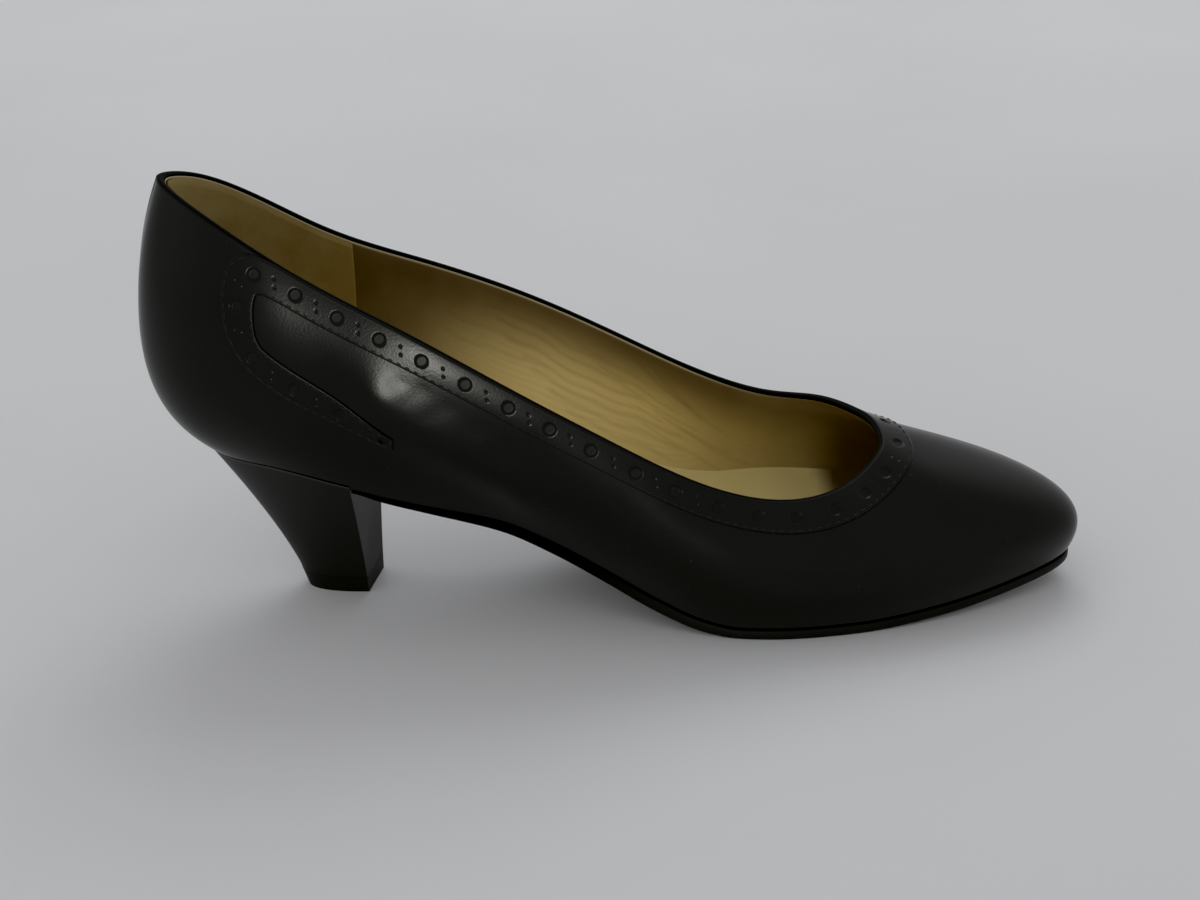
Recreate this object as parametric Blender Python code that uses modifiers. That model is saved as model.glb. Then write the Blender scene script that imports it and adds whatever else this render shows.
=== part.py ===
"""Court shoe for the right foot, with a punched band along the collar and a mid heel.

Sizes are millimetres in the shoe's own frame: X from the rearmost point of the heel to the toe, Y to the
inner side of the foot, Z up from the floor. An empty carries the pieces to the middle of the footprint.
"""

import bmesh
import bpy
import numpy as np

MM = 0.001
CENTRE_X, CENTRE_Y = 122.5, 3.8  # middle of the shoe's box, where the empty puts the origin
WALL = 2.0  # upper leather with its lining
GAP = 0.3  # glue line between curved pieces
SOLE_MARGIN = 0.5  # how far the sole stands out past the upper's lower edge
INSOLE_GAP = 0.6  # from the insole's edge to the wall, which is faceted
INSOLE_THICK = 5.0  # board, padding and sock in the middle
INSOLE_LIP = 1.5  # how much higher its edge runs up the wall
DISH, DISH_ENDS = 4, 16  # exponents of that rise: across the foot, and towards the toe and the back
BAND_WIDTH = 9.0
BAND_THICK = 0.9
BAND_TOP = 0.5  # from the topline down to the band's upper edge

# The ribs run from the upper's lower edge (foot) to the topline (top). A row is one rib, on the outer and
# the inner side alike, from the toe round to the back. A lean is in degrees from upright, outwards.
RIB_COLUMNS = [
    "foot_x", "foot_out", "foot_in", "foot_lean", "foot_pull",
    "top_x", "top_out", "top_in", "top_out_z", "top_in_z", "top_lean", "top_pull",
]
RIBS = [
    (242.8, 0.0, 0.0, 24, 24, 191.6, 0.0, 0.0, 41.6, 41.6, 70, 32),
    (239.8, 6.0, 8.0, 24, 23, 190.3, 4.5, 6.5, 40.2, 42.8, 68, 30),
    (229.5, 13.0, 18.0, 24, 22, 186.0, 10.5, 14.5, 38.4, 42.4, 58, 26),
    (210.0, 22.3, 29.5, 24, 20, 176.5, 20.2, 25.0, 37.5, 41.2, 42, 22),
    (184.0, 30.0, 39.0, 24, 17, 163.0, 26.4, 31.5, 39.1, 40.6, 28, 17),
    (160.0, 32.5, 40.5, 24, 17, 145.5, 29.4, 33.5, 45.2, 45.6, 18, 16),
    (133.0, 27.5, 31.5, 24, 17, 122.5, 29.4, 32.0, 57.0, 58.3, 14, 16),
    (104.0, 21.5, 20.0, 26, 17, 98.5, 27.9, 29.0, 69.7, 71.6, 15, 16),
    (72.0, 20.5, 17.5, 24, 18, 71.0, 24.9, 25.6, 85.2, 83.6, 16, 18),
    (43.0, 19.8, 19.0, 24, 20, 45.5, 20.8, 21.4, 98.7, 95.0, 17, 20),
    (23.0, 13.2, 13.0, 34, 23, 25.0, 15.2, 17.0, 110.8, 108.0, 18, 25),
    (14.6, 6.5, 6.5, 45, 24, 14.5, 7.0, 9.2, 116.0, 114.8, 19, 29),
    (12.2, 0.0, 0.0, 50, 24, 10.4, 0.0, 0.0, 117.6, 117.6, 20, 30),
]

# Height of the upper's lower edge along the shoe, and the upright thickness of the sole below it.
SOLE_COLUMNS = ["x", "feather", "edge"]
SOLE = [
    (8.0, 43.8, 2.0), (30.0, 44.0, 2.0), (55.0, 39.4, 2.0), (75.0, 34.9, 2.4), (93.0, 29.0, 2.7),
    (106.0, 23.1, 3.0), (119.0, 16.3, 3.2), (132.0, 9.4, 3.3), (145.0, 4.2, 2.8), (154.0, 2.7, 2.4),
    (184.0, 2.7, 2.4), (208.0, 4.2, 2.4), (228.0, 6.5, 2.3), (246.0, 9.1, 2.2),
]

# Heel: a flat breast in front, a rounded back, and a flare that grows with the height.
BREAST_OUT, BREAST_IN = 54.3, 56.6  # x of the breast on the outer and the inner side
TIP_BACK_X = 37.4
TIP_HALF_WIDTH = 6.6
TIP_ROUND = 2.4  # exponent of the rounded outline
FLARE = 1.4  # exponent of the flare from the tip to the seat
SEAT_RISE = 40.0  # height of the seat at the breast
SEAT_INSET = 0.2
TOP_PIECE = 5.0  # height of the piece under the heel

# Middle line of the band's hooked end: millimetres along the topline from the throat, below the topline,
# and across the band. Both rear quarters have the same hook.
HOOK_COLUMNS = ["run", "depth", "width"]
HOOK = [
    (178.0, 5.0, 9.0), (185.0, 5.7, 9.0), (189.3, 9.0, 9.0), (190.5, 15.0, 9.0), (189.6, 22.0, 9.0),
    (185.5, 27.2, 9.0), (178.0, 28.8, 9.0), (166.0, 29.6, 8.0), (150.0, 32.5, 4.0),
]

# How finely each piece is cut into facets.
RIB_COUNT, RIB_STEPS = 96, 13
INSOLE_STATIONS, INSOLE_ACROSS = 48, 9
SOLE_STATIONS = 40
HEEL_STATIONS, HEEL_LEVELS = 17, 9
BAND_STATIONS, BAND_ACROSS = 140, 3
RIB_SAMPLES = 60  # steps in which a rib is measured
RING_SAMPLES = 720  # steps in which the rings are measured

COLLECTION = "court_shoe"
BLACK_LEATHER, BLACK_SOLE, TAN_SOCK = (0.02, 0.02, 0.022), (0.015, 0.015, 0.015), (0.55, 0.42, 0.28)


def columns(names, rows):
    """The table as a dictionary of arrays, one for each named column."""
    return dict(zip(names, np.array(rows, float).T))


def ring_spline(knots, values, period, at):
    """Cubic curve through the values at the knots, with one even bend all round the ring."""
    n = len(knots)
    step = np.diff(np.append(knots, knots[0] + period))
    rise = (np.roll(values, -1) - values) / step
    before = np.roll(step, 1)
    system = np.zeros((n, n))
    rows = np.arange(n)
    system[rows, rows] = 2 * (before + step)
    system[rows, (rows - 1) % n] += before
    system[rows, (rows + 1) % n] += step
    bend = np.linalg.solve(system, 6 * (rise - np.roll(rise, 1)))
    at = np.mod(np.asarray(at, float) - knots[0], period) + knots[0]
    i = np.clip(np.searchsorted(knots, at, side="right") - 1, 0, n - 1)
    b = (at - knots[i]) / step[i]
    a = 1 - b
    j = (i + 1) % n
    curl = ((a**3 - a) * bend[i] + (b**3 - b) * bend[j]) * step[i] ** 2 / 6
    return a * values[i] + b * values[j] + curl


def profile(xs, values, at):
    """Smooth curve through a table that never overshoots it, so that equal rows stay flat."""
    step, rise = np.diff(xs), np.diff(values) / np.diff(xs)
    slope = np.zeros(len(xs))
    same = rise[1:] * rise[:-1] > 0
    w1, w2 = 2 * step[1:] + step[:-1], step[1:] + 2 * step[:-1]
    near, far = np.where(same, rise[:-1], 1), np.where(same, rise[1:], 1)
    slope[1:-1] = np.where(same, (w1 + w2) / (w1 / near + w2 / far), 0)
    slope[0], slope[-1] = rise[0], rise[-1]
    i = np.clip(np.searchsorted(xs, at, side="right") - 1, 0, len(xs) - 2)
    u = (at - xs[i]) / step[i]
    value = (1 + 2 * u) * (1 - u) ** 2 * values[i] + u**2 * (3 - 2 * u) * values[i + 1]
    return value + step[i] * (u * (1 - u) ** 2 * slope[i] - u**2 * (1 - u) * slope[i + 1])


SOLE_TABLE = columns(SOLE_COLUMNS, SOLE)


def feather(x):
    """Height of the upper's lower edge at x."""
    return profile(SOLE_TABLE["x"], SOLE_TABLE["feather"], x)


def tread(x):
    """Height of the sole's underside at x."""
    return feather(x) - GAP - profile(SOLE_TABLE["x"], SOLE_TABLE["edge"], x)


RIB_TABLE = columns(RIB_COLUMNS, RIBS)


def ring_knots():
    """Place of each row on the ring, from the mean of the steps along the foot and along the topline."""
    r = RIB_TABLE
    foot = np.hypot(np.diff(r["foot_x"]), np.diff((r["foot_out"] + r["foot_in"]) / 2))
    top_z = (r["top_out_z"] + r["top_in_z"]) / 2
    top_y = (r["top_out"] + r["top_in"]) / 2
    top = np.sqrt(np.diff(r["top_x"]) ** 2 + np.diff(top_y) ** 2 + np.diff(top_z) ** 2)
    return np.append(0, np.cumsum((foot + top) / 2))


HALF = ring_knots()
PERIOD = 2 * HALF[-1]
RING = np.append(HALF, PERIOD - HALF[-2:0:-1])


def ring(out_name, in_name, at, out_sign=1):
    """One column carried round the ring: outer side first, then the inner side back to the toe."""
    out_side, in_side = out_sign * RIB_TABLE[out_name], RIB_TABLE[in_name]
    return ring_spline(RING, np.append(out_side, in_side[-2:0:-1]), PERIOD, at)


def outward(x_name, out_name, in_name, at, near=0.05):
    """Level normal of a ring, away from the foot, from two points near the place."""
    dx = ring(x_name, x_name, at + near) - ring(x_name, x_name, at - near)
    dy = ring(out_name, in_name, at + near, -1) - ring(out_name, in_name, at - near, -1)
    normal = np.stack([-dy, dx, 0 * dx], -1)
    return normal / np.linalg.norm(normal, axis=-1, keepdims=True)


def foot_ring(at, inset=0.0):
    """The upper's lower edge, moved level towards the foot by inset."""
    x, y = ring("foot_x", "foot_x", at), ring("foot_out", "foot_in", at, -1)
    flat = np.stack([x, y, 0 * x], -1) - inset * outward("foot_x", "foot_out", "foot_in", at)
    flat[..., 2] = feather(flat[..., 0])
    return flat


def top_ring(at):
    """The topline."""
    x, y = ring("top_x", "top_x", at), ring("top_out", "top_in", at, -1)
    return np.stack([x, y, ring("top_out_z", "top_in_z", at)], -1)


def wall(at, v):
    """Point of the upper's outer face: v is 0 on the foot ring and 1 on the topline."""
    up = np.array([0, 0, 1.0])
    foot, top = foot_ring(at), top_ring(at)
    foot_lean = np.radians(ring("foot_lean", "foot_lean", at))[..., None]
    top_lean = np.radians(ring("top_lean", "top_lean", at))[..., None]
    foot_out = outward("foot_x", "foot_out", "foot_in", at)
    top_out = outward("top_x", "top_out", "top_in", at)
    foot_pull = ring("foot_pull", "foot_pull", at)[..., None]
    top_pull = ring("top_pull", "top_pull", at)[..., None]
    low = foot + foot_pull * (np.sin(foot_lean) * foot_out + np.cos(foot_lean) * up)
    high = top + top_pull * (np.sin(top_lean) * top_out - np.cos(top_lean) * up)
    v = v[..., None]
    return (1 - v) ** 3 * foot + 3 * (1 - v) ** 2 * v * low + 3 * (1 - v) * v**2 * high + v**3 * top


def wall_normal(at, v, near=0.1, share=0.002):
    """Outward normal of the upper's outer face, from points near by along the ring and up the rib."""
    along = wall(at + near, v) - wall(at - near, v)
    upwards = wall(at, np.minimum(v + share, 1)) - wall(at, np.maximum(v - share, 0))
    normal = np.cross(upwards, along)
    return normal / np.linalg.norm(normal, axis=-1, keepdims=True)


def on_wall(run, depth):
    """Ring place and v of a point that lies run along the topline from the throat and depth below it."""
    places = np.linspace(-HALF[-1], HALF[-1], RING_SAMPLES + 1)
    line = top_ring(places)
    length = np.append(0, np.cumsum(np.linalg.norm(np.diff(line, axis=0), axis=1)))
    at = np.interp(run, length - np.interp(0, places, length), places)
    v = np.linspace(1, 0, RIB_SAMPLES + 1)
    ribs = wall(at[..., None] + 0 * v, v + 0 * at[..., None])
    steps = np.linalg.norm(np.diff(ribs, axis=-2), axis=-1)
    down = np.concatenate([np.zeros(at.shape + (1,)), np.cumsum(steps, -1)], -1)
    i = np.clip((down <= depth[..., None]).sum(-1) - 1, 0, RIB_SAMPLES - 1)[..., None]
    low, high = np.take_along_axis(down, i, -1)[..., 0], np.take_along_axis(down, i + 1, -1)[..., 0]
    return at, v[i[..., 0]] - (depth - low) / (high - low) / RIB_SAMPLES


def inside(at, height):
    """Point at the insole's gap in from the wall's inner face, at a height above the upper's lower edge."""
    v = np.linspace(0, 1, RIB_SAMPLES + 1)
    at_all, v_all = at[:, None] + 0 * v, v + 0 * at[:, None]
    face = wall(at_all, v_all) - (WALL + INSOLE_GAP) * wall_normal(at_all, v_all)
    target = foot_ring(at)[:, 2] + height
    i = np.clip((face[..., 2] <= target[:, None]).sum(-1) - 1, 0, RIB_SAMPLES - 1)
    low, high = face[np.arange(len(at)), i], face[np.arange(len(at)), i + 1]
    share = (target - low[:, 2]) / (high[:, 2] - low[:, 2])
    return low + share[:, None] * (high - low)


for old in list(bpy.data.objects):
    bpy.data.objects.remove(old)
shoe = bpy.data.collections.new(COLLECTION)
bpy.context.scene.collection.children.link(shoe)
middle = bpy.data.objects.new(COLLECTION + "_origin", None)
middle.location = (-CENTRE_X * MM, -CENTRE_Y * MM, 0)
shoe.objects.link(middle)


def piece(name, points, faces, colour, roughness):
    """One named object with its own material, made of the points (in millimetres) and faces."""
    mesh = bpy.data.meshes.new(name)
    mesh.from_pydata((np.asarray(points).reshape(-1, 3) * MM).tolist(), [], faces)
    made = bmesh.new()
    made.from_mesh(mesh)
    bmesh.ops.remove_doubles(made, verts=made.verts, dist=1e-6)
    loose = [vertex for vertex in made.verts if not vertex.link_faces]
    bmesh.ops.delete(made, geom=loose, context="VERTS")
    made.to_mesh(mesh)
    made.free()
    obj = bpy.data.objects.new(name, mesh)
    obj.parent = middle
    shoe.objects.link(obj)
    material = bpy.data.materials.new(name)
    material.use_nodes = True
    shader = material.node_tree.nodes["Principled BSDF"]
    shader.inputs["Base Color"].default_value = (*colour, 1)
    shader.inputs["Roughness"].default_value = roughness
    mesh.materials.append(material)
    return obj


def sheet_faces(rows, cols, closed=False):
    """Quads of a grid that face the side where a column going up lies left of a row going on."""
    quads = []
    for i in range(rows if closed else rows - 1):
        for j in range(cols - 1):
            k = (i + 1) % rows
            quads.append((i * cols + j, i * cols + j + 1, k * cols + j + 1, k * cols + j))
    return quads


def thicken(obj, thickness, side):
    """Gives an open surface its wall: side -1 puts it behind the surface, 1 in front."""
    shell = obj.modifiers.new("wall", "SOLIDIFY")
    shell.thickness = thickness * MM
    shell.offset = side
    shell.use_even_offset = True


def stack(levels):
    """Points and faces of a closed block from like grids laid one over the other, lowest first.

    The lowest face is ruled straight from edge to edge.
    """
    count, rows, cols = levels.shape[:3]
    size = rows * cols
    faces = [[k + (count - 1) * size for k in quad] for quad in sheet_faces(rows, cols)]
    faces += [(i, i + cols, i + 2 * cols - 1, i + cols - 1) for i in range(0, size - cols, cols)]
    edge = [j for j in range(cols)] + [i * cols + cols - 1 for i in range(1, rows)]
    edge += [(rows - 1) * cols + j for j in range(cols - 2, -1, -1)]
    edge += [i * cols for i in range(rows - 2, 0, -1)]
    for level in range(count - 1):
        base = level * size
        for a, b in zip(edge, edge[1:] + edge[:1]):
            faces.append((base + a, base + b, base + size + b, base + size + a))
    return levels, faces


def across(outer, inner, cols=2):
    """Grid of straight lines from the outer edge to the inner edge."""
    share = np.linspace(0, 1, cols)[None, :, None]
    return outer[:, None] * (1 - share) + inner[:, None] * share


def place_at(x):
    """Ring place on the outer side where the foot ring passes x."""
    places = np.linspace(0, HALF[-1], RING_SAMPLES + 1)
    return np.interp(-x, -ring("foot_x", "foot_x", places), places)


# Upper: one ring of ribs, closer at the toe and at the back, open at the collar and underneath.
turn = np.linspace(0, 1, RIB_COUNT, endpoint=False)
around = PERIOD * (turn - np.sin(4 * np.pi * turn) / (8 * np.pi))
at, v = np.meshgrid(around, np.linspace(0, 1, RIB_STEPS), indexing="ij")
upper = piece("upper", wall(at, v), sheet_faces(RIB_COUNT, RIB_STEPS, True), BLACK_LEATHER, 0.4)
thicken(upper, WALL, -1)

# Insole: a dished bed on the upper's lower edge, a little clear of the wall.
along = np.linspace(0, 1, INSOLE_STATIONS)
places = HALF[-1] * (along - 0.6 * np.sin(2 * np.pi * along) / (2 * np.pi))
inset = WALL + INSOLE_GAP
under = across(foot_ring(places, inset), foot_ring(-places, inset), INSOLE_ACROSS)
under[..., 2] = feather(under[..., 0])
edge_height = INSOLE_THICK + INSOLE_LIP
bed = across(inside(places, edge_height), inside(-places, edge_height), INSOLE_ACROSS)
to_sides = np.abs(np.linspace(-1, 1, INSOLE_ACROSS)) ** DISH
to_ends = np.abs(np.linspace(-1, 1, INSOLE_STATIONS)) ** DISH_ENDS
bed[..., 2] -= INSOLE_LIP * (1 - np.maximum(to_sides[None, :], to_ends[:, None]))
piece("insole", *stack(np.stack([under, bed])), TAN_SOCK, 0.7)

# Outsole: from the toe to the heel's breast, closer at the toe.
along = np.linspace(0, 1, SOLE_STATIONS)
along = along - 0.5 * np.sin(np.pi * along) / np.pi
outer_edge = foot_ring(place_at(BREAST_OUT + GAP) * along, -SOLE_MARGIN)
inner_edge = foot_ring(-place_at(BREAST_IN + GAP) * along, -SOLE_MARGIN)
sole_top = across(outer_edge, inner_edge)
sole_tread = sole_top.copy()
sole_top[..., 2] = feather(sole_top[..., 0]) - GAP
sole_tread[..., 2] = tread(sole_tread[..., 0])
piece("outsole", *stack(np.stack([sole_tread, sole_top])), BLACK_SOLE, 0.6)

# Heel and its top piece: the tip's rounded outline grows into the seat.
to_back = np.linspace(0, 1, HEEL_STATIONS)
tip_back = np.sin(to_back * np.pi / 2) ** (2 / TIP_ROUND)
tip_side = TIP_HALF_WIDTH * (1 - tip_back**TIP_ROUND) ** (1 / TIP_ROUND)


def heel_edges(breast_x, side):
    """Edge of the seat and of the tip on one side, from the breast to the back."""
    start = place_at(breast_x)
    seat_edge = foot_ring(side * (start + (HALF[-1] - start) * to_back), SEAT_INSET)
    tip_x = breast_x - (breast_x - TIP_BACK_X) * tip_back
    return seat_edge, np.stack([tip_x, -side * tip_side, 0 * tip_x], -1)


seat_out, tip_out = heel_edges(BREAST_OUT, 1)
seat_in, tip_in = heel_edges(BREAST_IN, -1)
seat, tip = across(seat_out, seat_in), across(tip_out, tip_in)
seat[..., 2] = feather(seat[..., 0]) - GAP


def heel_level(height):
    """Grid of the heel at a share of its height."""
    grown = height**FLARE
    level = tip * (1 - grown) + seat * grown
    level[..., 2] = seat[..., 2] * height
    return level


def heel_cut(z):
    """Grid of the heel cut level at z."""
    level = heel_level(z / SEAT_RISE)
    level[..., 2] = z
    return level


lowest = TOP_PIECE + GAP
heights = np.linspace(lowest / SEAT_RISE, 1, HEEL_LEVELS)[1:]
levels = [heel_cut(lowest)] + [heel_level(height) for height in heights]
piece("heel", *stack(np.stack(levels)), BLACK_LEATHER, 0.35)
piece("heel_top_piece", *stack(np.stack([heel_cut(0.0), heel_cut(TOP_PIECE)])), BLACK_SOLE, 0.7)

# Band: a ribbon on the upper's own face, from the inner hook round the throat to the outer hook.
hook = np.array(HOOK)
front = [(run, BAND_TOP + BAND_WIDTH / 2, BAND_WIDTH) for run in range(-160, 161, 20)]
line = np.concatenate([hook[::-1] * (-1, 1, 1), front, hook])
length = np.append(0, np.cumsum(np.hypot(*np.diff(line[:, :2], axis=0).T)))
even = np.linspace(0, length[-1], BAND_STATIONS)
path = columns(HOOK_COLUMNS, np.stack([profile(length, column, even) for column in line.T], -1))
ahead_run, ahead_depth = np.gradient(path["run"]), np.gradient(path["depth"])
step = np.hypot(ahead_run, ahead_depth)
side = np.linspace(0.5, -0.5, BAND_ACROSS) * path["width"][:, None]
run = path["run"][:, None] - (ahead_depth / step)[:, None] * side
depth = path["depth"][:, None] + (ahead_run / step)[:, None] * side
at, v = on_wall(run, depth)
ribbon = wall(at, v) + GAP * wall_normal(at, v)
band = piece("brogue_band", ribbon, sheet_faces(BAND_STATIONS, BAND_ACROSS), BLACK_LEATHER, 0.4)
thicken(band, BAND_THICK, 1)
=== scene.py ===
import bmesh
import bpy
import numpy as np
from mathutils import Matrix


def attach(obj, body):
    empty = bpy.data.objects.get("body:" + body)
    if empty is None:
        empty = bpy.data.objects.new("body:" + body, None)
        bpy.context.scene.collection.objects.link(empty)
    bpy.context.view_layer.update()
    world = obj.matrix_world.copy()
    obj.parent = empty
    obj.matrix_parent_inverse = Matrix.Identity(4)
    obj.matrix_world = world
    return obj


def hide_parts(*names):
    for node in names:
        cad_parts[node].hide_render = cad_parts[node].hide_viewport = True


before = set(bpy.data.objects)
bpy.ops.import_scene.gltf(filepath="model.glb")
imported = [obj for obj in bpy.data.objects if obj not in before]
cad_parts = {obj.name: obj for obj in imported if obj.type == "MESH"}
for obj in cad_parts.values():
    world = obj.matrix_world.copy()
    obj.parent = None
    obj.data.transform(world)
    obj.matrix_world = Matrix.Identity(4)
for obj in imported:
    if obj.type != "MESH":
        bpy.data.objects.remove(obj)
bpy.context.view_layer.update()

# Upper: vamp and quarters of smooth black calf, closed at the back and pulled down over a last, so the
# leather is drawn tight over the ball and the heel. The collar's edge is thinned, folded in and glued.
MM = 0.001
SHOE_MIDDLE = (122.5, 3.8, 0.0)  # the tables measure from the heel's rearmost point: x to the toe, y inwards
RIB_COLUMNS = [
    "foot_x", "foot_out", "foot_in", "foot_lean", "foot_pull",
    "top_x", "top_out", "top_in", "top_out_z", "top_in_z", "top_lean", "top_pull",
]
RIBS = [
    (242.8, 0.0, 0.0, 28, 24, 191.6, 0.0, 0.0, 41.3, 41.3, 70, 32),
    (239.8, 6.0, 8.0, 26, 23, 190.5, 4.7, 6.7, 40.2, 42.5, 68, 30),
    (229.5, 13.0, 18.0, 24, 22, 186.4, 11.0, 15.0, 38.2, 42.9, 57, 26),
    (210.0, 22.3, 29.5, 24, 20, 177.3, 20.5, 25.4, 37.0, 42.2, 42, 22),
    (184.0, 30.0, 39.0, 24, 17, 163.0, 26.4, 31.5, 37.8, 41.5, 28, 17),
    (160.0, 32.5, 40.5, 24, 17, 145.5, 29.4, 33.5, 43.7, 46.8, 18, 16),
    (133.0, 27.5, 31.5, 24, 17, 122.5, 29.4, 32.0, 55.9, 59.2, 14, 16),
    (104.0, 21.5, 20.0, 26, 17, 98.5, 27.9, 29.0, 69.6, 72.5, 15, 16),
    (72.0, 20.5, 17.5, 24, 18, 71.0, 24.9, 25.6, 85.2, 84.5, 16, 18),
    (43.0, 19.8, 19.0, 24, 20, 45.5, 20.8, 21.4, 98.7, 95.9, 17, 20),
    (24.4, 13.2, 13.0, 37, 23, 25.0, 15.2, 17.0, 111.0, 108.8, 18, 25),
    (16.9, 6.5, 6.5, 52, 24.6, 14.5, 7.0, 9.2, 115.5, 115.2, 21, 29),
    (14.8, 0.0, 0.0, 58, 25.4, 10.4, 0.0, 0.0, 117.4, 117.4, 22, 30),
]
SOLE_COLUMNS = ["x", "feather", "edge"]  # height of the upper's lower edge, and of the sole's edge below it
SOLE_ROWS = [
    (8.0, 43.8, 2.0), (30.0, 44.0, 2.0), (55.0, 38.5, 0.3), (62.0, 36.4, 0.9), (75.0, 33.0, 1.5),
    (93.0, 28.8, 2.6), (106.0, 23.1, 3.0), (119.0, 16.3, 3.2), (132.0, 9.4, 3.3), (145.0, 4.2, 2.8),
    (154.0, 2.7, 2.4), (184.0, 2.7, 2.4), (208.0, 4.2, 2.4), (228.0, 6.5, 2.3), (246.0, 9.1, 2.2),
]
RIBS_MEASURED, RIB_STEPS = 960, 80  # ribs measured round the ring, and the steps down each


def columns(names, rows):
    """The table as a dictionary of arrays, one for each named column."""
    return dict(zip(names, np.array(rows, float).T))


def ring_spline(knots, values, period, at):
    """Cubic curve through the values at the knots, with one even bend all round the ring."""
    n = len(knots)
    step = np.diff(np.append(knots, knots[0] + period))
    rise = (np.roll(values, -1) - values) / step
    before = np.roll(step, 1)
    system = np.zeros((n, n))
    rows = np.arange(n)
    system[rows, rows] = 2 * (before + step)
    system[rows, (rows - 1) % n] += before
    system[rows, (rows + 1) % n] += step
    bend = np.linalg.solve(system, 6 * (rise - np.roll(rise, 1)))
    at = np.mod(np.asarray(at, float) - knots[0], period) + knots[0]
    i = np.clip(np.searchsorted(knots, at, side="right") - 1, 0, n - 1)
    b = (at - knots[i]) / step[i]
    a = 1 - b
    j = (i + 1) % n
    curl = ((a**3 - a) * bend[i] + (b**3 - b) * bend[j]) * step[i] ** 2 / 6
    return a * values[i] + b * values[j] + curl


def profile(xs, values, at):
    """Smooth curve through a table that never overshoots it, so that equal rows stay flat."""
    step, rise = np.diff(xs), np.diff(values) / np.diff(xs)
    slope = np.zeros(len(xs))
    same = rise[1:] * rise[:-1] > 0
    w1, w2 = 2 * step[1:] + step[:-1], step[1:] + 2 * step[:-1]
    near, far = np.where(same, rise[:-1], 1), np.where(same, rise[1:], 1)
    slope[1:-1] = np.where(same, (w1 + w2) / (w1 / near + w2 / far), 0)
    slope[0], slope[-1] = rise[0], rise[-1]
    i = np.clip(np.searchsorted(xs, at, side="right") - 1, 0, len(xs) - 2)
    u = (at - xs[i]) / step[i]
    value = (1 + 2 * u) * (1 - u) ** 2 * values[i] + u**2 * (3 - 2 * u) * values[i + 1]
    return value + step[i] * (u * (1 - u) ** 2 * slope[i] - u**2 * (1 - u) * slope[i + 1])


RIB = columns(RIB_COLUMNS, RIBS)
SOLE = columns(SOLE_COLUMNS, SOLE_ROWS)


def feather(x):
    """Height of the upper's lower edge at x."""
    return profile(SOLE["x"], SOLE["feather"], x)


def half_ring():
    """Place of each rib on the ring: the mean of the steps along the lower edge and along the collar."""
    foot = np.hypot(np.diff(RIB["foot_x"]), np.diff((RIB["foot_out"] + RIB["foot_in"]) / 2))
    top_z = (RIB["top_out_z"] + RIB["top_in_z"]) / 2
    top_y = (RIB["top_out"] + RIB["top_in"]) / 2
    top = np.sqrt(np.diff(RIB["top_x"]) ** 2 + np.diff(top_y) ** 2 + np.diff(top_z) ** 2)
    return np.append(0, np.cumsum((foot + top) / 2))


HALF = half_ring()
BACK = HALF[-1]  # the place of the back seam; the toe is 0 and the inner side has negative places
PERIOD = 2 * BACK
RING = np.append(HALF, PERIOD - HALF[-2:0:-1])


def ring(out_name, in_name, at, out_sign=1):
    """One column carried round the ring: the outer side first, then the inner side back to the toe."""
    both = np.append(out_sign * RIB[out_name], RIB[in_name][-2:0:-1])
    return ring_spline(RING, both, PERIOD, at)


def outward(x_name, out_name, in_name, at, near=0.05):
    """Level normal of a ring, away from the foot, from two points near the place."""
    dx = ring(x_name, x_name, at + near) - ring(x_name, x_name, at - near)
    dy = ring(out_name, in_name, at + near, -1) - ring(out_name, in_name, at - near, -1)
    normal = np.stack([-dy, dx, 0 * dx], -1)
    return normal / np.linalg.norm(normal, axis=-1, keepdims=True)


def foot_ring(at, inset=0.0):
    """The upper's lower edge, moved level towards the foot by inset."""
    x, y = ring("foot_x", "foot_x", at), ring("foot_out", "foot_in", at, -1)
    flat = np.stack([x, y, 0 * x], -1) - inset * outward("foot_x", "foot_out", "foot_in", at)
    flat[..., 2] = feather(flat[..., 0])
    return flat


def top_ring(at):
    """The collar's edge."""
    x, y = ring("top_x", "top_x", at), ring("top_out", "top_in", at, -1)
    return np.stack([x, y, ring("top_out_z", "top_in_z", at)], -1)


def wall(at, v):
    """Point of the upper's face: a cubic rib from the lower edge (v is 0) to the collar's edge (v is 1)."""
    up = np.array([0, 0, 1.0])
    foot, top = foot_ring(at), top_ring(at)
    foot_lean = np.radians(ring("foot_lean", "foot_lean", at))[..., None]
    top_lean = np.radians(ring("top_lean", "top_lean", at))[..., None]
    foot_out = outward("foot_x", "foot_out", "foot_in", at)
    top_out = outward("top_x", "top_out", "top_in", at)
    foot_pull = ring("foot_pull", "foot_pull", at)[..., None]
    top_pull = ring("top_pull", "top_pull", at)[..., None]
    low = foot + foot_pull * (np.sin(foot_lean) * foot_out + np.cos(foot_lean) * up)
    high = top + top_pull * (np.sin(top_lean) * top_out - np.cos(top_lean) * up)
    v = v[..., None]
    return (1 - v) ** 3 * foot + 3 * (1 - v) ** 2 * v * low + 3 * (1 - v) * v**2 * high + v**3 * top


def wall_normal(at, v, near=0.1, share=0.002):
    """Outward normal of the upper's face, from points near by along the ring and up the rib."""
    along = wall(at + near, v) - wall(at - near, v)
    upwards = wall(at, np.minimum(v + share, 1)) - wall(at, np.maximum(v - share, 0))
    normal = np.cross(upwards, along)
    return normal / np.linalg.norm(normal, axis=-1, keepdims=True)


def lengths(points):
    """Distance along the last axis of a row of points, from its first point."""
    steps = np.linalg.norm(np.diff(points, axis=-2), axis=-1)
    return np.concatenate([np.zeros(steps.shape[:-1] + (1,)), np.cumsum(steps, -1)], -1)


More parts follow.
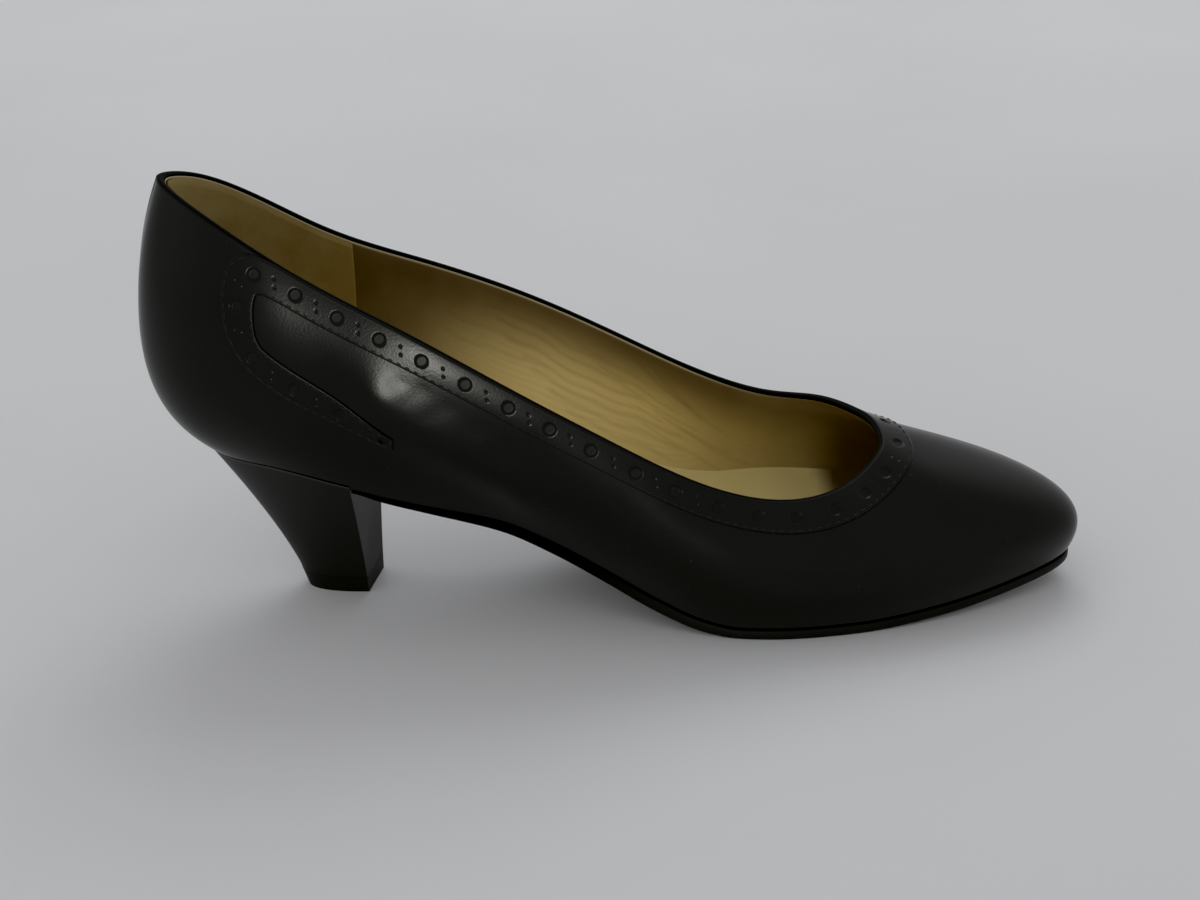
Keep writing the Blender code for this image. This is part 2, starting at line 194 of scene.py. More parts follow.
RIB_PLACES = np.linspace(-BACK, BACK, RIBS_MEASURED + 1)
RIB_SHARES = np.linspace(1, 0, RIB_STEPS + 1)
RIB_DEPTHS = lengths(wall(RIB_PLACES[:, None] + 0 * RIB_SHARES, RIB_SHARES + 0 * RIB_PLACES[:, None]))
COLLAR_RUN = lengths(top_ring(RIB_PLACES))
COLLAR_RUN -= np.interp(0, RIB_PLACES, COLLAR_RUN)


def place_of(run):
    """Ring place of a distance along the collar's edge from the throat, positive on the outer side."""
    return np.interp(run, COLLAR_RUN, RIB_PLACES)


def rib_rows(at):
    """Depths of the steps of the rib at a place, between the two nearest ribs that were measured."""
    row = np.mod(at + BACK, PERIOD) / PERIOD * RIBS_MEASURED
    i = np.clip(row.astype(int), 0, RIBS_MEASURED - 1)
    share = (row - i)[..., None]
    return RIB_DEPTHS[i] * (1 - share) + RIB_DEPTHS[i + 1] * share


def share_at(at, depth):
    """Share v of the point that lies depth below the collar's edge, measured down its rib."""
    down = rib_rows(at)
    k = np.clip((down <= depth[..., None]).sum(-1) - 1, 0, RIB_STEPS - 1)[..., None]
    low, high = np.take_along_axis(down, k, -1)[..., 0], np.take_along_axis(down, k + 1, -1)[..., 0]
    return np.clip(RIB_SHARES[k[..., 0]] - (depth - low) / (high - low) / RIB_STEPS, 0, 1)


# Each row is a soft fold of the leather drawn between two points (run along the collar, depth below it),
# with the half width of its bell and how far it stands out; a negative rise is a dent.
QUARTER_FOLDS = [
    # run_a, depth_a, run_b, depth_b, half_width, rise
    (122, 28, 151, 24, 9.8, 1.9), (118, 17, 127, 28, 2.6, -0.04), (127, 16, 135, 25, 2.2, -0.03),
    (139, 19, 147, 22, 2.4, -0.04), (133, 13, 141, 21, 1.3, -0.05), (140, 12, 146, 19, 1.2, -0.05),
    (146, 13, 152, 18, 1.3, -0.05), (124, 14, 131, 22, 1.4, -0.05), (104, 16, 116, 30, 3.2, -0.14),
    (88, 20, 97, 34, 4.0, -0.12), (60, 26, 72, 36, 4.5, -0.16), (50, 24, 58, 35, 4.0, -0.12),
    (-52, 26, -64, 37, 4.5, -0.16), (-70, 24, -78, 38, 4.5, -0.14), (-122, 15, -130, 28, 3.0, -0.14),
    (-140, 18, -148, 24, 3.0, -0.10), (236, 3, 260, 3, 13.0, 1.1), (-236, 3, -260, 3, 13.0, 1.1),
    (232, 18, 260, 18, 15.0, 0.9), (-232, 18, -260, 18, 15.0, 0.9),
]


def run_of(at):
    """Distance along the collar's edge from the throat to a ring place, negative on the inner side."""
    return np.interp(np.mod(at + BACK, PERIOD) - BACK, RIB_PLACES, COLLAR_RUN)


def folds(run, depth, rows):
    """Sum of the folds' bells: each is its rise times exp of minus the squared distance to its line over the
    squared half width, measured in run and depth.
    """
    total = np.zeros(run.shape)
    for run_a, depth_a, run_b, depth_b, half_width, rise in rows:
        long, deep = run_b - run_a, depth_b - depth_a
        share = np.clip(((run - run_a) * long + (depth - depth_a) * deep) / (long**2 + deep**2), 0, 1)
        away = (run - run_a - share * long) ** 2 + (depth - depth_a - share * deep) ** 2
        total += rise * np.exp(-away / half_width**2)
    return total


def smooth_step(low, high, value):
    """0 below low, 1 above high, and an even S between them."""
    share = np.clip((value - low) / (high - low), 0, 1)
    return share**2 * (3 - 2 * share)


def skin(at, depth, offset):
    """Point at an offset from the drawn leather: the wall and, along its normal, its folds and the offset."""
    v = share_at(at, depth)
    out = offset + folds(run_of(at), depth, QUARTER_FOLDS)
    return wall(at, v) + out[..., None] * wall_normal(at, v)


def quads(rows, cols, ring_rows=False, ring_cols=False):
    """Corner numbers of a grid's quads; a ring joins its last row or column to the first."""
    i = np.arange(rows if ring_rows else rows - 1)[:, None]
    j = np.arange(cols if ring_cols else cols - 1)[None, :]
    a, b, k = i * cols, (i + 1) % rows * cols, (j + 1) % cols
    return np.stack([a + j, a + k, b + k, b + j], -1).reshape(-1, 4)


POINTS_MEET = 1e-7  # metres between points that are joined into one


def piece(name, points, faces, material, sharp=40, marks=None):
    """One object at the origin, from points in the tables' millimetres and arrays of its faces' corners.

    Points that no face uses are left out, points that meet are joined, and an edge sharper than sharp degrees
    stays crisp. Marks are values from 0 to 1 at the points, which the material reads by name.
    """
    mesh = bpy.data.meshes.new(name)
    used = np.unique(np.concatenate([group.ravel() for group in faces]))
    corners = sum((np.searchsorted(used, group).tolist() for group in faces), [])
    mesh.from_pydata(((points.reshape(-1, 3)[used] - SHOE_MIDDLE) * MM).tolist(), [], corners)
    for mark, values in (marks or {}).items():
        mesh.attributes.new(mark, "FLOAT", "POINT").data.foreach_set("value", values.ravel()[used])
    made = bmesh.new()
    made.from_mesh(mesh)
    bmesh.ops.remove_doubles(made, verts=made.verts, dist=POINTS_MEET)
    made.to_mesh(mesh)
    made.free()
    mesh.polygons.foreach_set("use_smooth", np.ones(len(mesh.polygons), bool))
    mesh.set_sharp_from_angle(angle=np.radians(sharp))
    mesh.materials.append(material)
    obj = bpy.data.objects.new(name, mesh)
    bpy.context.scene.collection.objects.link(obj)
    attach(obj, "root")
    return obj


def node(tree, kind, sockets=None, **settings):
    """One shader node; sockets maps an input to a value or to the output that is linked to it."""
    made = tree.nodes.new(kind)
    for key, value in settings.items():
        setattr(made, key, value)
    for key, value in (sockets or {}).items():
        if isinstance(value, bpy.types.NodeSocket):
            tree.links.new(value, made.inputs[key])
        else:
            made.inputs[key].default_value = value
    return made


def effect(name, inputs, outputs):
    """A new shader node group with number sockets, and its input and output nodes."""
    group = bpy.data.node_groups.new(name, "ShaderNodeTree")
    for key, value in inputs.items():
        socket = group.interface.new_socket(key, in_out="INPUT", socket_type="NodeSocketFloat")
        socket.default_value = value
    for key in outputs:
        group.interface.new_socket(key, in_out="OUTPUT", socket_type="NodeSocketFloat")
    return group, group.nodes.new("NodeGroupInput"), group.nodes.new("NodeGroupOutput")


# Grain of leather: rounded cells with pores between them, and a slow change of tone across the hide.
leather_grain, into, out = effect("leather_grain", {"Cells": 1800.0, "Patches": 40.0}, ["Height", "Tone"])
spot = node(leather_grain, "ShaderNodeTexCoord").outputs["Object"]
small, slow = into.outputs["Cells"], into.outputs["Patches"]
cells = node(leather_grain, "ShaderNodeTexVoronoi", {"Vector": spot, "Scale": small}, feature="SMOOTH_F1")
pores = node(leather_grain, "ShaderNodeTexNoise", {"Vector": spot, "Scale": small, "Detail": 3.0})
both = node(
    leather_grain,
    "ShaderNodeMath",
    {0: pores.outputs["Fac"], 1: cells.outputs["Distance"]},
    operation="SUBTRACT",
)
patches = node(leather_grain, "ShaderNodeTexNoise", {"Vector": spot, "Scale": slow, "Detail": 4.0})
leather_grain.links.new(both.outputs[0], out.inputs["Height"])
leather_grain.links.new(patches.outputs["Fac"], out.inputs["Tone"])

# Specks of dust and rubbed spots: the peaks of a fine noise.
dust, into, out = effect("dust", {"Specks": 900.0, "Least": 0.74}, ["Mask"])
spot = node(dust, "ShaderNodeTexCoord").outputs["Object"]
fine = node(dust, "ShaderNodeTexNoise", {"Vector": spot, "Scale": into.outputs["Specks"], "Detail": 2.0})
peaks = node(
    dust,
    "ShaderNodeMapRange",
    {"Value": fine.outputs["Fac"], "From Min": into.outputs["Least"], "From Max": 0.85},
)
dust.links.new(peaks.outputs["Result"], out.inputs["Mask"])


def blend(tree, share, first, second):
    """Colour between two colours, each of them an output or three numbers."""
    ends = [end if isinstance(end, bpy.types.NodeSocket) else (*end, 1) for end in (first, second)]
    return node(tree, "ShaderNodeMix", {"Factor": share, 6: ends[0], 7: ends[1]}, data_type="RGBA").outputs[2]


def hide_tone(tree, tone, low, high):
    """The tone of the hide's patches, which lies between 0.3 and 0.7, carried to low and high."""
    spans = {"From Min": 0.3, "From Max": 0.7, "To Min": low, "To Max": high}
    return node(tree, "ShaderNodeMapRange", {"Value": tone, **spans}).outputs["Result"]


def marked(tree, name):
    """Value of a mark that the mesh carries, or 0 where it carries none."""
    return node(tree, "ShaderNodeAttribute", attribute_name=name).outputs["Fac"]


DUST_AND_RIM_HIGHLIGHT = (0.05, 0.048, 0.045)  # dust, and a painted highlight along the heel cover's upper edge
# black of the unpolished folded edges; in the punched holes and along the sole's waist it is painted shade
UNPOLISHED_AND_SHADE, UNPOLISHED_ROUGHNESS = (0.001, 0.001, 0.001), 0.95
GLOSS_UNEVEN = 0.05  # how far the roughness changes across the hide
PORES = {"Strength": 0.15, "Distance": 0.00006}


def black_leather(name, dark, light, roughness, cells, coat):
    """Dyed and polished calf: tone and gloss follow the hide's patches, and dust lies in the grain.

    One mark makes it matt and darker: the folded edges are left unpolished, while in the punched holes and
    along the sole's waist the darker colour is painted shade. Another mark, with the dust's grey, is a
    painted highlight along the heel cover's upper edge.
    """
    material = bpy.data.materials.new(name)
    material.use_nodes = True
    tree = material.node_tree
    shader = tree.nodes["Principled BSDF"]
    shader.inputs["Specular IOR Level"].default_value = 0.15
    shader.inputs["Coat Weight"].default_value = coat
    shader.inputs["Coat Roughness"].default_value = 0.2
    grain = node(tree, "ShaderNodeGroup", node_tree=leather_grain)
    grain.inputs["Cells"].default_value = cells
    tone = grain.outputs["Tone"]
    specks = node(tree, "ShaderNodeGroup", node_tree=dust).outputs["Mask"]
    specks_and_highlight = node(tree, "ShaderNodeMath", {0: specks, 1: marked(tree, "rim_highlight")}, operation="MAXIMUM")
    dusty = blend(tree, specks_and_highlight.outputs[0], blend(tree, tone, dark, light), DUST_AND_RIM_HIGHLIGHT)
    gloss = hide_tone(tree, tone, roughness - GLOSS_UNEVEN, roughness + GLOSS_UNEVEN)
    matt_and_shade = marked(tree, "matt_and_shade")
    brushed = node(tree, "ShaderNodeMix", {"Factor": matt_and_shade, 2: gloss, 3: UNPOLISHED_ROUGHNESS})
    bump = node(tree, "ShaderNodeBump", {"Height": grain.outputs["Height"], **PORES})
    tree.links.new(blend(tree, matt_and_shade, dusty, UNPOLISHED_AND_SHADE), shader.inputs["Base Color"])
    tree.links.new(brushed.outputs[0], shader.inputs["Roughness"])
    tree.links.new(bump.outputs["Normal"], shader.inputs["Normal"])
    return material


UPPER_RIBS, OUTER_STEPS, ROLL_STEPS, STRIP_STEPS, INNER_STEPS = 420, 84, 12, 6, 16
LEATHER = 1.2  # thickness of the calf
FOLD_ROUND = 0.65  # radius of the folded edge
FOLD_DEEP = 2.2  # how far the folded strip reaches down inside
FOLD_STEP, FOLD_PRESSED = 0.2, 0.1  # below the strip's end, and how far the strip is pressed out
EDGE_DULL = 1.6  # the folded edge is left unpolished down to this depth, fading over 1 mm
FOOT_TURN, FOOT_TUCK = 0.9, 0.32  # height and depth of the leather's turn just above the sole
FOOT_TURN_FROM, FOOT_TURN_FULL = 105.0, 140.0  # x between which that turn comes in

turn = np.linspace(0, 1, UPPER_RIBS, endpoint=False)
rib_at = PERIOD * (turn - np.sin(4 * np.pi * turn) / (8 * np.pi))
rib_long = rib_rows(rib_at)[:, -1:]
climb = np.linspace(1, 0, OUTER_STEPS)
roll = np.linspace(0, np.pi, ROLL_STEPS)[1:-1]
strip = np.linspace(FOLD_ROUND, FOLD_DEEP, STRIP_STEPS)
inner = np.linspace(0, 1, INNER_STEPS)
outer_depth = FOLD_ROUND + (rib_long - FOLD_ROUND) * climb
fold_depth = np.concatenate([FOLD_ROUND * (1 - np.sin(roll)), strip])
inner_depth = FOLD_DEEP + FOLD_STEP + (rib_long - FOLD_DEEP - FOLD_STEP) * inner
depth = np.concatenate([outer_depth, fold_depth + 0 * rib_long, inner_depth], 1)
on_sole = smooth_step(FOOT_TURN_FROM, FOOT_TURN_FULL, foot_ring(rib_at)[:, :1])
tuck = -FOOT_TUCK * on_sole * np.clip(1 - (rib_long - outer_depth) / FOOT_TURN, 0, 1) ** 2
strip_offset = np.full(len(strip), FOLD_PRESSED - 2 * FOLD_ROUND)
fold_offset = np.concatenate([FOLD_ROUND * (np.cos(roll) - 1), strip_offset])
inner_offset = np.full(len(inner), -LEATHER)
offset = np.concatenate([tuck, fold_offset + 0 * rib_long, inner_offset + 0 * rib_long], 1)
inwards = np.concatenate([np.zeros(OUTER_STEPS), (1 - np.cos(roll)) / 2, np.ones(len(strip) + len(inner))])
offset -= inwards * folds(run_of(rib_at)[:, None] + 0 * depth, depth, QUARTER_FOLDS)
CALF_DARK, CALF_LIGHT = (0.0035, 0.0035, 0.0033), (0.006, 0.006, 0.0056)
calf = black_leather("black_calf", CALF_DARK, CALF_LIGHT, roughness=0.23, cells=1800.0, coat=0.04)
upper = piece(
    "upper_leather",
    skin(rib_at[:, None] + 0 * depth, depth, offset),
    [quads(*depth.shape, ring_rows=True, ring_cols=True)],
    calf,
    sharp=50,
    marks={"matt_and_shade": np.clip(EDGE_DULL - depth, 0, 1) * (inwards < 1)},
)
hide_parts("upper")

# Lining: tan sheepskin glued inside the calf, trimmed just under the folded edge, where its raw edge shows
# pale. It is thinner than the calf and lies in fine creases where the last was drawn out.
LINING_TOP = 0.7  # depth of its raw edge
LINING_FACE = -2.3  # offset of the side that shows
LINING_EDGE = [
    # depth, offset
    (5.0, -1.3), (4.2, -1.45), (3.4, -1.47), (LINING_TOP, -1.5), (LINING_TOP + 0.02, -1.62),
    (LINING_TOP + 0.15, -1.75), (LINING_TOP + 0.7, -1.85), (LINING_TOP + 2.4, -2.1),
    (LINING_TOP + 4.4, LINING_FACE),
]
LINING_LOW = 4.0  # how far above the sole it ends, under the sock
LINING_FOLDS = [
    # run_a, depth_a, run_b, depth_b, half_width, rise
    (-132, 8, -96, 12, 0.9, -0.16), (-128, 12, -92, 17, 0.8, -0.18), (-126, 17, -88, 22, 0.9, -0.20),
    (-122, 21, -84, 27, 0.8, -0.18), (-120, 25, -80, 31, 1.0, -0.18), (-116, 29, -82, 36, 0.9, -0.16),
    (-112, 33, -86, 41, 0.9, -0.14), (-104, 9, -84, 14, 0.8, -0.14), (-98, 14, -78, 20, 0.8, -0.16),
    (-92, 19, -74, 26, 0.8, -0.16), (-86, 6, -72, 16, 1.0, -0.20), (-80, 5, -70, 20, 1.0, -0.20),
    (-76, 8, -66, 24, 0.9, -0.16), (-84, 24, -68, 33, 0.9, -0.16), (-78, 28, -64, 38, 0.9, -0.14),
    (-90, 31, -72, 40, 0.9, -0.14), (-142, 14, -118, 17, 0.9, -0.12), (-144, 20, -116, 23, 0.9, -0.12),
    (84, 8, 112, 12, 0.9, -0.14), (80, 16, 118, 22, 0.9, -0.16), (76, 22, 110, 30, 1.0, -0.16),
    (70, 10, 84, 26, 1.0, -0.16), (92, 26, 120, 32, 0.9, -0.14), (100, 14, 138, 18, 0.9, -0.12),
]
FOLDS_PRESSED = 0.7  # share of these folds that is left after wear
CREASE_APART, CREASE_DEEP = 2.1, 0.07
CREASE_SLOPE, CREASE_TURN = 0.12, 22.0  # how the creases run down, and how far they turn down at the throat
TURN_FROM, TURN_FULL = 92.0, 58.0  # runs between which they turn
CREASE_FULL = 0.3  # depth of a crease whose painted shade is full
# The lining's colour holds painted light: pale where light falls into the shoe, the darker shade colour
# towards the heel and the throat.
LIT_RUN = 90.0  # along the collar: the middle of the part that is painted pale where light falls
LIT_TO_HEEL, LIT_TO_TOE = (46.0, 3.2), (40.0, 1.6)  # length and exponent of its fading each way
LIT_SLANT, LIT_SLANT_FROM = 0.6, 10.0  # it reaches further to the heel lower down, below this depth
LIT_MOST, LIT_FROM, LIT_FULL = 0.83, -1.0, 26.0  # its strength, and the depths where it begins and is full
THROAT_HIGHER, THROAT_FROM, THROAT_FULL = 10.0, 65.0, 40.0  # it begins higher up nearer the throat
VAMP_SEAM, VAMP_SLANT = 29.0, 0.5  # where the vamp's darker lining meets the collar, and how it runs back
VAMP_SOFT = 6.0  # half width of the change between the two


def paleness(run, depth):
    """Painted light on the lining: a bell of paleness along the collar where light falls, steeper towards the
    heel, that grows from the edge downwards and ends at the vamp's lining; beyond it the shade colour stands
    as painted shade.
    """
    ahead = np.abs(run)
    heel_end = LIT_RUN + LIT_SLANT * np.maximum(depth - LIT_SLANT_FROM, 0)
    to_heel = np.exp(-((np.maximum(ahead - heel_end, 0) / LIT_TO_HEEL[0]) ** LIT_TO_HEEL[1]))
    to_toe = np.exp(-((np.maximum(LIT_RUN - ahead, 0) / LIT_TO_TOE[0]) ** LIT_TO_TOE[1]))
    behind_seam = smooth_step(-VAMP_SOFT, VAMP_SOFT, ahead - VAMP_SEAM - VAMP_SLANT * depth)
    begins = LIT_FROM - THROAT_HIGHER * smooth_step(THROAT_FROM, THROAT_FULL, ahead)
    return LIT_MOST * to_heel * to_toe * behind_seam * smooth_step(begins, LIT_FULL, depth)


def fine_creases(run, depth):
    """Creases where the lining is painted pale: even lines along the collar that turn down towards the
    throat, made uneven by slow waves, each one a narrow valley.
    """
    ahead = np.abs(run)
    line = depth + CREASE_SLOPE * ahead + CREASE_TURN * smooth_step(TURN_FROM, TURN_FULL, ahead) ** 2
    line += 0.9 * np.sin(ahead / 9.3 + depth / 7.1) + 0.35 * np.sin(ahead / 3.7 - depth / 5.2)
    valley = np.exp(-((np.sin(np.pi * line / CREASE_APART) / 0.5) ** 2))
    some = 0.5 + 0.5 * np.sin(ahead / 8.7 + 1.3 * np.sin(depth / 6.1) + depth / 3.7)
    return -CREASE_DEEP * valley * (0.35 + 0.65 * some) * paleness(run, depth)


def lined(at, depth, offset):
    """Point of the lining and its marks: the wall moved in by the offset and by creases that waver."""
    v = share_at(at, depth)
    face, normal = wall(at, v), wall_normal(at, v)
    run = run_of(at)
    uneven = depth + 0.7 * np.sin(run / 5.1) + 0.4 * np.sin(run / 2.3 + depth / 9)
    crease = FOLDS_PRESSED * folds(run, uneven, LINING_FOLDS) + fine_creases(run, depth)
    # the first mark paints shade into the creases, the second paints the lining pale where light falls
    marks = {"crease": np.clip(-crease / CREASE_FULL, 0, 1), "paleness": paleness(run, depth)}
    return face + (offset - crease)[..., None] * normal, marks


LINING_RIBS, BEHIND_STEPS, FRONT_STEPS = 600, 10, 112
RAW_DEEP, RAW_FADE = 0.72, 0.6  # how far down the raw edge's tone reaches, and the length it fades over
RAW_OFFSET = -1.6  # the raw edge begins further in than this
RAW_FROM, RAW_FULL = 35.0, 80.0  # runs between which the raw edge comes out of the shade of the vamp
lining_at = PERIOD * np.linspace(0, 1, LINING_RIBS, endpoint=False)
lining_long = rib_rows(lining_at)[:, -1:]
edge_depth, edge_offset = np.array(LINING_EDGE).T
behind = np.linspace(1, 0, BEHIND_STEPS)[:-1]
front = np.linspace(0, 1, FRONT_STEPS)[1:]
reach = lining_long - LINING_LOW - edge_depth[0]
depth = np.concatenate(
    [
        edge_depth[0] + reach * behind,
        edge_depth + 0 * lining_long,
        edge_depth[-1] + (lining_long - LINING_LOW - edge_depth[-1]) * front,
    ],
    1,
)
offset = np.concatenate([np.full(len(behind), edge_offset[0]), edge_offset, np.full(len(front), LINING_FACE)])
points, marks = lined(lining_at[:, None] + 0 * depth, depth, offset + 0 * depth)
marks["raw_edge"] = np.clip((LINING_TOP + RAW_DEEP - depth) / RAW_FADE, 0, 1) * (offset < RAW_OFFSET)
marks["raw_edge"] *= smooth_step(RAW_FROM, RAW_FULL, np.abs(run_of(lining_at)))[:, None]

CREASE_SHADE = 0.35  # share of the shade colour painted into a quite dark crease, as painted shade
PALE_GLOSS = 0.06  # how far the painted paleness changes the roughness


def tan_leather(name, shade, light, raw, roughness, cells, depth_of_grain, uneven):
    """Vegetable-tanned lining leather: paler where a mark says so (painted light on the lining and the sock),
    paler at its raw edge, and with painted shade down in its creases.
    """
    material = bpy.data.materials.new(name)
    material.use_nodes = True
    tree = material.node_tree
    shader = tree.nodes["Principled BSDF"]
    shader.inputs["Specular IOR Level"].default_value = 0.3
    grain = node(tree, "ShaderNodeGroup", node_tree=leather_grain)
    grain.inputs["Cells"].default_value = cells
    grain.inputs["Patches"].default_value = 90.0
    tone = hide_tone(tree, grain.outputs["Tone"], -uneven, uneven)
    pale = node(tree, "ShaderNodeMath", {0: marked(tree, "paleness"), 1: tone}, operation="ADD", use_clamp=True)
    # painted shade in the creases
    deep = node(tree, "ShaderNodeMath", {0: marked(tree, "crease"), 1: CREASE_SHADE}, operation="MULTIPLY")
    lines = blend(tree, deep.outputs[0], blend(tree, pale.outputs[0], shade, light), shade)
    ends = {"To Min": roughness + PALE_GLOSS, "To Max": roughness - PALE_GLOSS}
    gloss = node(tree, "ShaderNodeMapRange", {"Value": pale.outputs[0], **ends})
    pores = {"Height": grain.outputs["Height"], "Strength": 0.3, "Distance": depth_of_grain}
    bump = node(tree, "ShaderNodeBump", pores)
    tree.links.new(blend(tree, marked(tree, "raw_edge"), lines, raw), shader.inputs["Base Color"])
    tree.links.new(gloss.outputs["Result"], shader.inputs["Roughness"])
    tree.links.new(bump.outputs["Normal"], shader.inputs["Normal"])
    return material


lining_leather = tan_leather(
    "tan_lining",
    shade=(0.09, 0.053, 0.013),
    light=(0.93, 0.73, 0.31),
    raw=(0.42, 0.35, 0.20),
    roughness=0.5,
    cells=1500.0,
    depth_of_grain=0.00008,
    uneven=0.02,
)
faces = [quads(*depth.shape, ring_rows=True, ring_cols=True)]
lining = piece("lining", points, faces, lining_leather, sharp=60, marks=marks)

# Heel grip: a paler piece of lining turned flesh side out, so that the heel doesn't slip. It is sewn over
# the lining round the back, from one quarter to the other.
GRIP_RUN = 167.7  # along the collar, where its front edges stand
GRIP_THICK, GRIP_SUNK = 0.45, 0.02  # thickness, and how far it is pressed into the lining
GRIP_DROP = 0.05  # its upper edge below the lining's
GRIP_EDGE, GRIP_RIM = 0.5, 1.2  # lengths over which its edge is thinned, and is paler at the collar
GRIP_ROWS, GRIP_COLS = 150, 60

beside = GRIP_EDGE * np.array([0, 0.25, 0.5, 0.75, 1.0])
collar_end = COLLAR_RUN[-1]
last = 2 * collar_end - GRIP_RUN
between = np.linspace(GRIP_RUN + 2 * GRIP_EDGE, last - 2 * GRIP_EDGE, GRIP_ROWS)
run = np.concatenate([GRIP_RUN + beside, between, last - beside[::-1]])
grip_at = place_of(np.where(run > collar_end, run - 2 * collar_end, run))
from_edge = np.minimum(run - GRIP_RUN, last - run)
thick = GRIP_THICK * np.sqrt(1 - (1 - np.clip(from_edge / GRIP_EDGE, 0, 1)) ** 2)
grip_long = rib_rows(grip_at)[:, None, -1]
down = np.linspace(0, 1, GRIP_COLS)
depth = LINING_TOP + GRIP_DROP + (grip_long - LINING_LOW - LINING_TOP) * down
rim = np.sqrt(1 - (1 - np.clip((depth - depth[:, :1]) / GRIP_EDGE, 0, 1)) ** 2)
rim[:, -1] = 0
under = np.full(depth.shape, LINING_FACE + GRIP_SUNK)
over = under - thick[:, None] * rim
depth_loop = np.concatenate([depth[:, ::-1], depth[:, 1:-1]], 1)
offset_loop = np.concatenate([under[:, ::-1], over[:, 1:-1]], 1)
points, marks = lined(grip_at[:, None] + 0 * depth_loop, depth_loop, offset_loop)
rim_tone = np.clip(1 - (depth - LINING_TOP) / GRIP_RIM, 0, 1)[:, 1:-1]
marks["raw_edge"] = np.concatenate([0 * under, rim_tone], 1)
# the grip is paler towards the back seam
to_seam = smooth_step(GRIP_RUN, collar_end, np.minimum(run, 2 * collar_end - run))
marks["paleness"] = to_seam[:, None] + 0 * depth_loop
grip_suede = tan_leather(
    "pale_suede",
    shade=(0.245, 0.165, 0.042),
    light=(0.32, 0.25, 0.105),
    raw=(0.40, 0.33, 0.17),
    roughness=0.85,
    cells=700.0,
    depth_of_grain=0.0002,
    uneven=0.4,
)
faces = [quads(*depth_loop.shape, ring_cols=True)]
grip = piece("heel_grip", points, faces, grip_suede, sharp=60, marks=marks)

# Band: a strip of the same calf sewn on along the collar, hooked round on each rear quarter. It is punched
# with large holes and pairs of small ones between them before it is sewn.
HOOK = [
    # run, depth, width of the band's middle line
    (178.0, 5.0, 9.0), (185.0, 5.7, 9.0), (189.3, 9.0, 9.0), (190.5, 15.0, 9.0), (189.6, 22.0, 9.0),
    (185.5, 27.2, 9.0), (178.0, 28.8, 9.0), (166.0, 29.6, 8.0), (150.0, 32.5, 4.0),
]
BAND_DEPTH, BAND_WIDTH = 5.0, 9.0  # of its straight part
STRAIGHT_TO, STRAIGHT_STEP = 160, 20  # run of that part on each side, and the step of its points
BAND_THICK, BAND_EDGE = 0.5, 0.5  # thickness, and the radius of its pressed edges
BAND_LEAST, BAND_SUNK = 0.03, 0.25  # its pressed edge stands so far out, and its underside lies so far in
UNDER_HALF = 0.48  # half width of its underside, as a share of the band's width
LARGE_HOLES = [
    0.0, 9.5, 18.0, 27.5, 37.5, 47.5, 58.0, 69.5, 80.5, 93.0, 104.5, 116.0, 128.0, 140.0, 151.5, 163.0, 174.5,
    186.2, 197.9, 209.6, 221.3, 233.0, 244.0,
]
LARGE_HOLE, SMALL_HOLE = 1.55, 0.28  # radii
HOLE_DEEP, SMALL_DEEP = 0.9, 0.4  # share of the thickness, and share of that for a small hole
HOLE_OUTER, HOLE_INNER = 0.14, 0.16  # its rounded wall, outside and inside the radius
HOLE_SHADE, BAND_DULL = 0.25, 1.4  # how far a hole's bottom is made matt and darker, as painted shade, and the depth of the dull collar edge
SMALL_APART = 2.1  # between the two small holes of a pair
BAND_ROWS, BAND_COLS, BAND_UNDER = 1960, 35, 8

hook = np.array(HOOK)
straight = [(run, BAND_DEPTH, BAND_WIDTH) for run in range(-STRAIGHT_TO, STRAIGHT_TO + 1, STRAIGHT_STEP)]
middle_line = np.concatenate([hook[::-1] * (-1, 1, 1), straight, hook])
middle_length = np.append(0, np.cumsum(np.hypot(*np.diff(middle_line[:, :2], axis=0).T)))
middle_length -= middle_length[-1] / 2


def middle_at(along):
    """Run and depth of the band's middle line at a length along it from the throat."""
    return np.stack([profile(middle_length, middle_line[:, k], along) for k in (0, 1)])


def band_line(along, aside):
    """Ring place and depth of a point on the band: along its middle line from the throat, then aside."""
    near = 0.4
    run, depth = middle_at(along)
    ahead = middle_at(along + near) - middle_at(along - near)
    step = np.hypot(*ahead)
    return place_of(run - ahead[1] / step * aside), depth + ahead[0] / step * aside


def punched(points, along, aside, radius):
    """How deep in a punched hole each point lies, from 0 on the face to 1 on the bottom."""
    at, depth = band_line(along, aside)
    mask = np.zeros(points.shape[:-1])
    for centre in skin(at, depth, 0 * at):
        away = np.linalg.norm(points - centre, axis=-1)
        mask = np.maximum(mask, smooth_step(radius + HOLE_OUTER, radius - HOLE_INNER, away))
    return mask


band_end = middle_length[-1]
along = np.linspace(-band_end, band_end, BAND_ROWS)[:, None]
width = profile(middle_length, middle_line[:, 2], along)
aside = np.linspace(0.5, -0.5, BAND_COLS) * width
band_at, band_depth = band_line(along + 0 * aside, aside)
to_edge = np.minimum(width / 2 - np.abs(aside), band_end - np.abs(along))
edge = np.sqrt(1 - (1 - np.clip(to_edge / BAND_EDGE, 0, 1)) ** 2)
face = skin(band_at, band_depth, 0 * aside)
large = np.array(LARGE_HOLES)
large = np.concatenate([-large[:0:-1], large])
small = (large[1:] + large[:-1]) / 2
holes = np.maximum.reduce(
    [
        punched(face, large, 0 * large, LARGE_HOLE),
        SMALL_DEEP * punched(face, small, 0 * small + SMALL_APART / 2, SMALL_HOLE),
        SMALL_DEEP * punched(face, small, 0 * small - SMALL_APART / 2, SMALL_HOLE),
    ]
)
height = BAND_LEAST + BAND_THICK * edge * (1 - HOLE_DEEP * holes)
under_aside = width * np.linspace(-UNDER_HALF, UNDER_HALF, BAND_UNDER)
under_at, under_depth = band_line(along + 0 * under_aside, under_aside)
